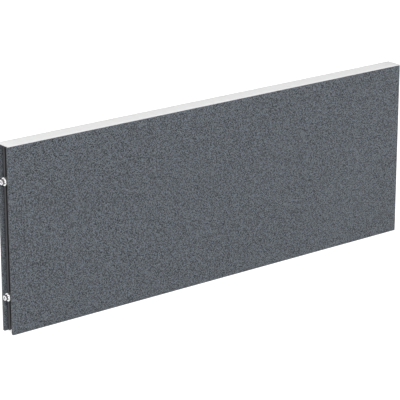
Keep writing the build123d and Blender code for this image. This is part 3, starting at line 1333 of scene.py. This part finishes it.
@dataclass(frozen=True)
class SocketScrew:
    """Screw with a hexagon socket, drawn along Z with the seat of its head at Z = 0.

    The thread is one pitch of its section carried round its helix, so each turn's edge is the next
    turn's start. The head and the socket are rings that grow one from another.
    """

    head: Head
    radius: float
    length: float
    pitch: float
    head_radius: float
    head_height: float
    head_edge: float
    socket_width: float
    socket_depth: float
    tip: float
    ridges: int = 48
    ridge_depth: float = mm(0.22)
    steps: int = 32

    @property
    def root(self) -> float:
        """Return the radius at the bottom of the thread, whose flanks stand at 60 degrees."""
        return self.radius - THREAD_DEPTH * self.pitch

    def make(self) -> bmesh.types.BMesh:
        """Build the screw.

        Returns:
            A closed mesh, for the caller to place and free.
        """
        bm = bmesh.new()
        neck_ring = self._cut_thread(bm)
        head_ring = self._raise_head(bm)
        bmesh.ops.triangle_fill(bm, edges=neck_ring + head_ring, use_beauty=True)
        bmesh.ops.recalc_face_normals(bm, faces=bm.faces)
        return bm

    def _cut_thread(self, bm: bmesh.types.BMesh) -> list[bmesh.types.BMEdge]:
        """Cut the thread, point its tip and run it out into a plain neck.

        Args:
            bm: The empty mesh.

        Returns:
            The ring at the seat of the head.
        """
        start, stop = -self.length + self.tip, -self.pitch
        turns = math.ceil((stop - start) / self.pitch) + 2
        reaches = (self.root, self.root, self.radius, self.radius, self.root, self.root)
        points = [
            bm.verts.new((reach, 0, start + (share - 2) * self.pitch))
            for share, reach in zip(THREAD_TURNS, reaches)
        ]
        section = [bm.edges.new(pair) for pair in zip(points, points[1:])]
        bmesh.ops.spin(
            bm,
            geom=points + section,
            cent=(0, 0, 0),
            axis=(0, 0, 1),
            dvec=(0, 0, self.pitch / self.steps),
            angle=turns * math.tau,
            steps=turns * self.steps,
            use_merge=False,
        )
        bmesh.ops.remove_doubles(bm, verts=bm.verts, dist=WELD_DISTANCE)
        for height, normal in ((start, (0, 0, -1)), (stop, (0, 0, 1))):
            cut_plane(bm, (0, 0, height), normal, clear_outer=True)
        rims = [edge for edge in bm.edges if edge.is_boundary]
        tip_ring = [edge for edge in rims if edge.verts[0].co.z < (start + stop) / 2]
        neck_ring = [edge for edge in rims if edge.verts[0].co.z > (start + stop) / 2]
        for reach in (self.root - self.tip / 2, self.root / 2):
            tip_ring = next_ring(bm, tip_ring, start - self.tip, lambda _, reach=reach: reach)
        bmesh.ops.edgeloop_fill(bm, edges=tip_ring)
        for share in NECK_RINGS:
            neck_ring = next_ring(bm, neck_ring, share * self.pitch, lambda _: self.radius)
        return next_ring(bm, neck_ring, 0, lambda _: self.radius + NECK_FLARE * self.pitch)

    def _raise_head(self, bm: bmesh.types.BMesh) -> list[bmesh.types.BMEdge]:
        """Raise the head from its seat, and sink the socket into it.

        Args:
            bm: The mesh with the shank.

        Returns:
            The ring of the head's seat.
        """
        seat_radius = self.head_radius - self.head_edge / 2
        made = bmesh.ops.create_circle(bm, segments=2 * self.ridges, radius=seat_radius, cap_ends=False)
        seat = list({edge for corner in made["verts"] for edge in corner.link_edges})
        ring = seat
        for height, radius in (*self._head_rings(), *self._socket_rings()):
            ring = next_ring(bm, ring, height, radius)
        bmesh.ops.edgeloop_fill(bm, edges=ring)
        return seat

    def _head_rings(self) -> list[tuple[float, Radius]]:
        """Return the head's rings from the seat up to its top face."""
        edge = self.head_edge
        if self.head is Head.CAP:
            top_edge = self.head_height - edge
            return [
                (edge / 2, self._knurl),
                (top_edge, self._knurl),
                (top_edge + EDGE_RISE * edge, lambda _: self.head_radius - EDGE_DRAW * edge),
                (self.head_height, lambda _: self.head_radius - edge),
            ]
        rings: list[tuple[float, Radius]] = [(edge / 2, lambda _: self.head_radius)]
        dome = self.head_height - edge / 2
        crown = math.sin(math.radians(DOME_TURNS[-1]))
        for degrees in DOME_TURNS:
            turn = math.radians(degrees)
            height = edge / 2 + math.sin(turn) / crown * dome
            reach = self.head_radius * (DOME_FLAT + (1 - DOME_FLAT) * math.cos(turn))
            rings.append((height, lambda _, reach=reach: reach))
        return rings

    def _knurl(self, direction: float) -> float:
        """Return the radius of the knurled rim, which is lower at every second corner."""
        corner = round(direction / math.tau * 2 * self.ridges)
        return self.head_radius - self.ridge_depth * (corner % 2)

    def _hexagon(self, direction: float) -> float:
        """Return the radius of the socket's wall in a direction."""
        off_flat = (direction + math.pi / 6) % (math.pi / 3) - math.pi / 6
        return self.socket_width / 2 / math.cos(off_flat)

    def _socket_rings(self) -> list[tuple[float, Radius]]:
        """Return the socket's rings from its countersunk mouth down to its drilled bottom."""
        width = self.socket_width
        floor = self.head_height - self.socket_depth
        return [
            (self.head_height, lambda _: MOUTH_RADIUS * width),
            (self.head_height - MOUTH_DEPTH * width, self._hexagon),
            (floor, self._hexagon),
            (floor, lambda _: DRILL_RADIUS * width),
            (floor - DRILL_DEPTH * width, lambda _: DRILL_POINT * width),
        ]


@dataclass
class Core:
    """The aluminium frame between the skins, its screws, and the felt slabs that fill its bays."""

    slab_edge: float = mm(3)
    slab_cell: float = mm(14)
    slab_swell: float = mm(0.35)
    slab_lump: float = mm(45)
    corner_screw: SocketScrew = field(
        default=SocketScrew(
            head=Head.BUTTON,
            radius=mm(2.4),
            length=mm(30),
            pitch=mm(1.6),
            head_radius=mm(3.9),
            head_height=mm(2.4),
            head_edge=mm(0.4),
            socket_width=mm(3),
            socket_depth=mm(1.5),
            tip=mm(0.6),
            ridges=24,
            steps=24,
        )
    )
    mullion_length: float = mm(50)

    def build(self) -> None:
        """Dress the rails and the mullion, and build the slabs and the screws."""
        for rail in ("top_rail", "bottom_rail"):
            dress_node(rail, MILL_RAIL)
        dress_node("centre_mullion", MILL_UPRIGHT)
        for end in End:
            self._build_slab(end)
        head = self.corner_screw
        low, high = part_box("corner_screws")
        levels = (low.z + head.head_radius, high.z - head.head_radius)
        seat = high.x - head.head_height
        corners = [
            Matrix.Translation((end.value * seat, 0, level)) @ end.turn for end in End for level in levels
        ]
        self._build_screws("corner_screws", head, corners)
        low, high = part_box("mullion_screws")
        upside_down = Matrix.Rotation(math.pi, 4, "X")
        ends = [
            Matrix.Translation((0, 0, high.z - head.head_height)),
            Matrix.Translation((0, 0, low.z + head.head_height)) @ upside_down,
        ]
        self._build_screws("mullion_screws", replace(head, length=self.mullion_length), ends)

    def _build_screws(self, node: str, screw: SocketScrew, places: Iterable[Matrix]) -> None:
        """Build one node's screws.

        Args:
            node: The node.
            screw: The screw that it has several of.
            places: Where each one's head sits.
        """
        bm = bmesh.new()
        one = screw.make()
        for place in places:
            add_copy(bm, one, place)
        one.free()
        finish_piece(bm, f"threaded_{node}", NUT_ZINC, "root", [node], crease=28)

    def _build_slab(self, end: End) -> None:
        """Build the felt slab of one bay, pressed a little uneven between the boards.

        Args:
            end: The end of the panel that the bay lies towards.
        """
        node = f"{end.label}_infill"
        low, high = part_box(node)
        size = high - low
        bm = bmesh.new()
        facing = Matrix.Translation((low + high) / 2) @ Matrix.Rotation(math.pi / 2, 4, "X")
        bmesh.ops.create_grid(
            bm,
            x_segments=round(size.x / self.slab_cell),
            y_segments=round(size.z / self.slab_cell),
            size=0.5,
            matrix=facing @ Matrix.Diagonal((size.x, size.z, 1, 1)) @ Matrix.Translation((0, 0, -size.y / 2)),
        )
        pulled = bmesh.ops.extrude_face_region(bm, geom=list(bm.faces), use_keep_orig=True)["geom"]
        bmesh.ops.translate(bm, verts=points_of(pulled), vec=(0, -size.y, 0))
        bmesh.ops.recalc_face_normals(bm, faces=bm.faces)
        bevel_edges(bm, sharp_edges(bm), self.slab_edge)
        middle = (low.y + high.y) / 2
        for point in bm.verts:
            lump = noise.noise(point.co / self.slab_lump)
            pinch = self.slab_swell * (1 + lump) / 2
            side = math.copysign(1, point.co.y - middle)
            if abs(point.co.y - middle) > size.y / 2 - self.slab_edge:
                point.co.y -= side * pinch
        slab = finish_piece(bm, f"{end.label}_felt_slab", FELT, "root", [node])


@dataclass
class HookBolt:
    """A cap screw with a wide washer that hooks into a post, and the nut that holds it in the slot."""

    end: End
    level: Level
    washer_bore: float = mm(4.2)
    washer_edge: float = mm(0.5)
    nut_bore: float = mm(4.05)
    nut_edge: float = mm(0.5)
    nut_body: float = mm(6)
    nut_neck_width: float = mm(8)
    segments: int = 64
    screw: SocketScrew = field(
        default=SocketScrew(
            head=Head.CAP,
            radius=mm(3.95),
            length=mm(20),
            pitch=mm(1.25),
            head_radius=mm(6.5),
            head_height=mm(8),
            head_edge=mm(0.8),
            socket_width=mm(6),
            socket_depth=mm(4),
            tip=mm(0.8),
        )
    )

    @property
    def label(self) -> str:
        """Return the hook's name as its nodes use it."""
        return f"{self.end.label}_{self.level.value}"

    def _place(self, reach: float) -> Matrix:
        """Return the place on the hook's axis at a distance from the panel's middle, facing out."""
        low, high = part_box(f"{self.label}_washer")
        return Matrix.Translation((self.end.value * reach, 0, (low.z + high.z) / 2)) @ self.end.turn

    def _reaches(self, part: str) -> tuple[float, float]:
        """Return how far from the panel's middle a part of the hook starts and ends."""
        low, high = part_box(f"{self.label}_{part}")
        nearer, farther = sorted((abs(low.x), abs(high.x)))
        return nearer, farther

    def build(self) -> None:
        """Build the nut on the root body, and the washer and the bolt each on a body of its own."""
        self._build_nut()
        self._build_washer()
        self._build_bolt()

    def _build_bolt(self) -> None:
        """Build the cap screw with its head seated on the washer."""
        _, seat = self._reaches("washer")
        bm = self.screw.make()
        bmesh.ops.transform(bm, matrix=self._place(seat), verts=bm.verts)
        node = f"{self.label}_bolt"
        finish_piece(bm, f"{self.label}_cap_screw", BRIGHT_ZINC, node, [node], crease=28)

    def _build_washer(self) -> None:
        """Build the washer by spinning its section, with edges rounded by stamping and tumbling."""
        inner, outer = self._reaches("washer")
        node = f"{self.label}_washer"
        low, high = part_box(node)
        radius = (high.z - low.z) / 2
        thickness = outer - inner
        bm = bmesh.new()
        corners = [
            (self.washer_bore, 0, 0),
            (radius, 0, 0),
            (radius, 0, thickness),
            (self.washer_bore, 0, thickness),
        ]
        ease_corners(bm, join_loop(bm, corners), self.washer_edge)
        bmesh.ops.spin(
            bm,
            geom=[*bm.verts, *bm.edges],
            cent=(0, 0, 0),
            axis=(0, 0, 1),
            angle=math.tau,
            steps=self.segments,
            use_merge=True,
        )
        bmesh.ops.transform(bm, matrix=self._place(inner), verts=bm.verts)
        finish_piece(bm, f"{self.label}_stamped_washer", BRIGHT_ZINC, node, [node])

    def _build_nut(self) -> None:
        """Build the slot nut: a bored block behind the lips, and a neck in the slot on each side."""
        inner, outer = self._reaches("nut")
        node = f"{self.label}_nut"
        low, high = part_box(node)
        half_width, half_height = high.y, (high.z - low.z) / 2
        bm = bmesh.new()
        block = bmesh.new()
        outline = [(x, y, 0) for x, y in self._square(half_height, half_width)]
        ease_corners(block, join_loop(block, outline), self.nut_edge)
        bmesh.ops.create_circle(block, segments=self.segments, radius=self.nut_bore, cap_ends=False)
        press(block, Vector((0, 0, self.nut_body)))
        add_copy(bm, block, Matrix.Identity(4))
        block.free()
        neck_height = outer - inner - self.nut_body
        for side in (-1, 1):
            neck = bmesh.new()
            join_loop(neck, self._neck_outline(half_height))
            press(neck, Vector((0, 0, neck_height)))
            flip = Matrix.Translation((0, 0, self.nut_body)) @ Matrix.Rotation(math.pi * (side < 0), 4, "Z")
            add_copy(bm, neck, flip)
            neck.free()
        bmesh.ops.transform(bm, matrix=self._place(inner), verts=bm.verts)
        finish_piece(bm, f"{self.label}_slot_nut", NUT_ZINC, "root", [node])

    @staticmethod
    def _square(half_height: float, half_width: float) -> list[tuple[float, float]]:
        """Return the four corners of a rectangle round the axis."""
        return [(sx * half_height, sy * half_width) for sx, sy in ((-1, -1), (1, -1), (1, 1), (-1, 1))]

    def _neck_outline(self, half_height: float) -> list[tuple[float, float, float]]:
        """Return the outline of one neck, which is hollowed where the bore passes it.

        Args:
            half_height: Half the nut's height along the slot.

        Returns:
            The outline's points, on the upper side of the axis.
        """
        half = self.nut_neck_width / 2
        widest = math.asin(half / self.nut_bore)
        count = self.segments // 4
        turns = [widest - 2 * widest * step / count for step in range(count + 1)]
        hollow = [(self.nut_bore * math.cos(turn), self.nut_bore * math.sin(turn), 0) for turn in turns]
        return [(half_height, -half, 0), (half_height, half, 0), *hollow]


# ---- studio ----


@dataclass
class Studio:
    """A pale lit table under soft light, and the camera.

    The camera sees the sky as a white backdrop, while the panel is lit by a dimmer one.
    """

    floor_size: float = 60.0
    floor_tiles: int = 12
    camera_place: tuple[float, float, float] = (-2.9035, -3.6157, 1.708)
    camera_heading: float = 38.39
    camera_pitch: float = 18.024
    lens: float = 180.0
    key_from: tuple[float, float, float] = (-0.6, -1.0, 0.85)
    key_power: float = 3.2
    fill_from: tuple[float, float, float] = (0.2, 1.0, 1.2)
    fill_power: float = 1.2
    lamp_width: float = 50.0
    zenith: float = 0.4
    horizon: float = 0.3
    backdrop: float = 1.05

    def build(self) -> None:
        """Set up the floor, the light and the camera."""
        self._lay_floor()
        self._light()
        self._set_camera()
        bpy.context.scene.view_settings.view_transform = "Standard"

    def _lay_floor(self) -> None:
        """Lay the table's sheet under the panel."""
        low, _ = cad_box
        bm = bmesh.new()
        bmesh.ops.create_grid(
            bm, x_segments=self.floor_tiles, y_segments=self.floor_tiles, size=self.floor_size / 2
        )
        bmesh.ops.translate(bm, verts=bm.verts, vec=(0, 0, low.z))
        mesh = bpy.data.meshes.new("studio_table")
        bm.to_mesh(mesh)
        bm.free()
        mesh.materials.append(TABLE.material())
        floor = bpy.data.objects.new("studio_table", mesh)
        bpy.context.scene.collection.objects.link(floor)

    def _light(self) -> None:
        """Light the table with a sky that is brighter overhead, a key in front and a fill behind."""
        world = bpy.data.worlds.new("soft_sky")
        bpy.context.scene.world = world
        world.use_nodes = True
        tree = world.node_tree
        tree.nodes.clear()
        direction = add_node(tree, "TexCoord").outputs["Generated"]
        parts = add_node(tree, "SeparateXYZ", {"Vector": direction})
        level = add_node(
            tree,
            "MapRange",
            {"Value": parts.outputs["Z"], "To Min": self.horizon, "To Max": self.zenith},
        )
        seen = add_node(tree, "LightPath").outputs["Is Camera Ray"]
        strength = add_node(tree, "Mix", {0: seen, 2: level.outputs[0], 3: self.backdrop})
        background = add_node(
            tree, "Background", {"Color": linear("#FFFFFF"), "Strength": strength.outputs[0]}
        )
        add_node(tree, "OutputWorld", {"Surface": background.outputs[0]})
        self._add_lamp("wide_key", self.key_from, self.key_power)
        self._add_lamp("wide_fill", self.fill_from, self.fill_power)

    def _add_lamp(self, name: str, source: tuple[float, float, float], power: float) -> None:
        """Add a wide distant lamp, which lights every place alike.

        Args:
            name: The lamp's name.
            source: The direction that its light comes from.
            power: Its power on a surface that faces it, in watts per square metre.
        """
        lamp = bpy.data.lights.new(name, "SUN")
        lamp.energy = power
        lamp.angle = math.radians(self.lamp_width)
        holder = bpy.data.objects.new(name, lamp)
        holder.rotation_mode = "QUATERNION"
        holder.rotation_quaternion = Vector(source).to_track_quat("Z", "Y")
        bpy.context.scene.collection.objects.link(holder)

    def _set_camera(self) -> None:
        """Set up the camera to the left of the panel's front, looking down at it."""
        camera = bpy.data.cameras.new("camera")
        camera.lens = self.lens
        camera.clip_end = 2 * self.floor_size
        holder = bpy.data.objects.new("camera", camera)
        holder.location = self.camera_place
        holder.rotation_euler = (math.radians(90 - self.camera_pitch), 0, -math.radians(self.camera_heading))
        bpy.context.scene.collection.objects.link(holder)
        bpy.context.scene.camera = holder


def main() -> None:
    """Build the panel from the skins inwards, then its hook bolts and the studio."""
    logging.basicConfig(level=logging.INFO, format="%(name)s: %(message)s")
    for face in Face:
        Skin(face).build()
    TopCap().build()
    Core().build()
    for end in End:
        SlottedUpright(end).build()
        for level in Level:
            HookBolt(end, level).build()
    Studio().build()


if __name__ == "__main__":
    main()
